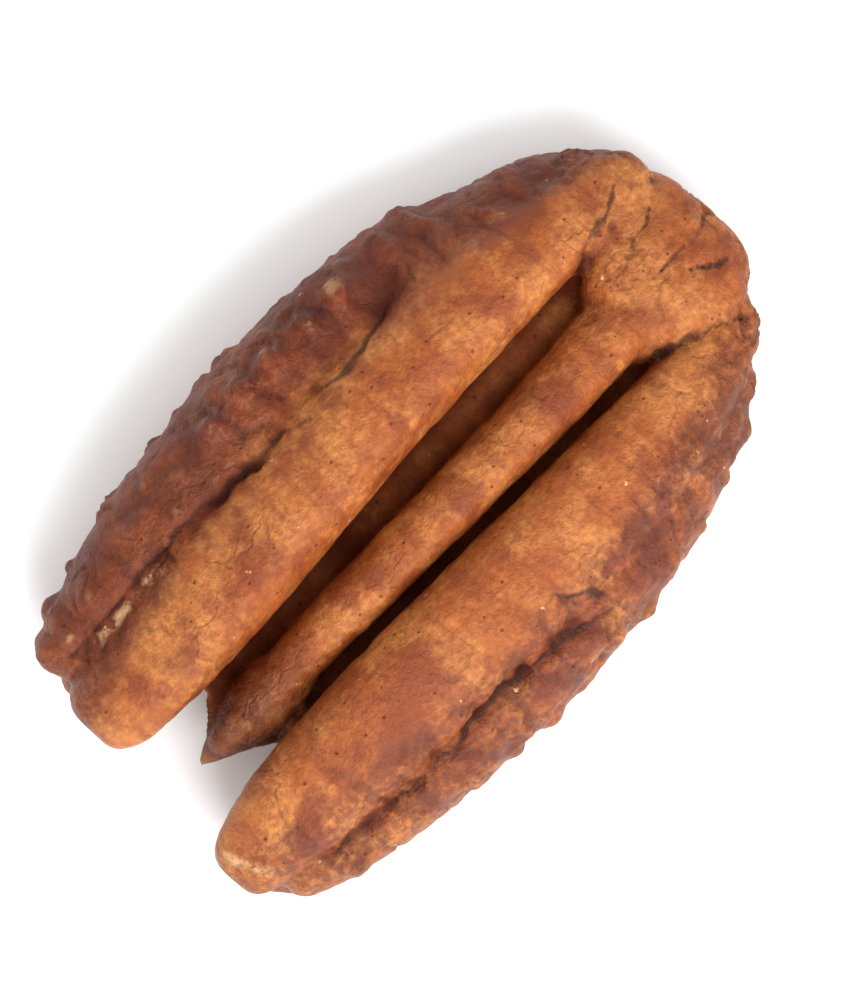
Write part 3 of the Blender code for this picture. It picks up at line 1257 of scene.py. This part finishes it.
        # Painted shade in the flesh's dents.
        dent_shade = bench.ramp(traces[Trace.DIMPLE], 0.0, 0.9, 0.0, 0.8)
        colour = bench.mix(dent_shade, colour, self.russet_and_shade)
        crumbs = bench.ramp(bench.cells(place, 2.1), 0.08, 0.20, 0.75, 0.0)
        return bench.mix(crumbs, colour, self.russet_and_shade)

    def _veins(self, bench: Bench, place: object) -> object:
        """A sparse net of hairlines, 1 on a line and 0 beside it."""
        colour = bench.noise(place, 0.9, 3.0).outputs["Color"]
        warp = bench.vector("SCALE", bench.vector("SUBTRACT", colour, (0.5, 0.5, 0.5)), 1.6)
        net = bench.cells(bench.vector("ADD", place, warp), 0.30, "DISTANCE_TO_EDGE")
        some = bench.ramp(bench.noise(place, 0.35, 2.0).outputs[0], 0.45, 0.60)
        return bench.math("MULTIPLY", bench.ramp(net, 0.0, 0.04, 1.0, 0.0), some)

    def _trace(self, bench: Bench, trace: Trace) -> object:
        """The number that the mesh carries under a trace's name."""
        made = bench.node("ShaderNodeAttribute", attribute_type="GEOMETRY")
        made.attribute_name = trace.value
        return made.outputs["Fac"]


@dataclass(frozen=True)
class PaperFinish:
    """The matt pale paper of the floor."""

    colour: tuple = linear(246, 247, 248)
    roughness: float = 0.9

    def material(self) -> bpy.types.Material:
        """Makes the finish.

        Returns:
            A node material, the same all over.
        """
        made = bpy.data.materials.new("floor_paper")
        made.use_nodes = True
        shader = made.node_tree.nodes["Principled BSDF"]
        shader.inputs["Base Color"].default_value = self.colour
        shader.inputs["Roughness"].default_value = self.roughness
        shader.inputs["Specular IOR Level"].default_value = 0.1
        return made


@dataclass(frozen=True)
class Studio:
    """The pale floor, the soft light and the camera that looks straight down.

    Angles are in degrees and lengths in metres.
    """

    floor_size: float = 1.2
    nut_turn: float = 48.0
    lens: float = 400.0
    view_height: float = 0.0415
    key_azimuth: float = -108.0
    key_elevation: float = 45.0
    key_distance: float = 0.5
    key_size: float = 0.40
    key_power: float = 4.0
    ambient: float = 1.06

    def build(self) -> None:
        """Makes the floor, the lights and the camera."""
        self._floor()
        self._light()
        self._camera()
        bpy.context.scene.view_settings.view_transform = "Standard"

    def _floor(self) -> None:
        """The floor, which isn't part of the object."""
        form = bmesh.new()
        bmesh.ops.create_grid(form, x_segments=1, y_segments=1, size=self.floor_size / 2)
        mesh = bpy.data.meshes.new("floor")
        form.to_mesh(mesh)
        form.free()
        mesh.materials.append(PaperFinish().material())
        linked("floor", mesh)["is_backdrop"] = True

    def _light(self) -> None:
        """One large soft lamp to the side, and pale light from all round."""
        lamp = bpy.data.lights.new("key", "AREA")
        lamp.energy = self.key_power
        lamp.size = self.key_size
        holder = bpy.data.objects.new("key", lamp)
        turn, rise = math.radians(self.key_azimuth), math.radians(self.key_elevation)
        level = math.cos(rise)
        way = Vector((math.cos(turn) * level, math.sin(turn) * level, math.sin(rise)))
        holder.location = way * self.key_distance
        holder.rotation_euler = way.to_track_quat("Z", "Y").to_euler()
        bpy.context.scene.collection.objects.link(holder)
        world = bpy.data.worlds.new("studio")
        world.use_nodes = True
        background = world.node_tree.nodes["Background"]
        background.inputs["Color"].default_value = (1.0, 1.0, 1.0, 1.0)
        background.inputs["Strength"].default_value = self.ambient
        bpy.context.scene.world = world

    def _camera(self) -> None:
        """The camera over the middle of the kernel, turned so that the nut lies aslant."""
        low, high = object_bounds()
        middle = (low + high) / 2
        camera = bpy.data.cameras.new("camera")
        camera.lens = self.lens
        distance = self.view_height * self.lens / camera.sensor_width
        holder = bpy.data.objects.new("camera", camera)
        holder.location = (middle.x, middle.y, middle.z + distance)
        holder.rotation_euler = (0.0, 0.0, -math.radians(self.nut_turn))
        bpy.context.scene.collection.objects.link(holder)
        bpy.context.scene.camera = holder


def main() -> None:
    """Builds the studio and the kernel, and ties the kernel to the frame."""
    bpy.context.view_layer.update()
    Studio().build()
    kernel = Kernel().build(SkinFinish().material())
    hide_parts(NODE)
    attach(kernel, BODY)
    LOG.info("%s: %d faces", kernel.name, len(kernel.data.polygons))


if __name__ == "__main__":
    logging.basicConfig(level=logging.INFO, format="%(message)s")
    main()
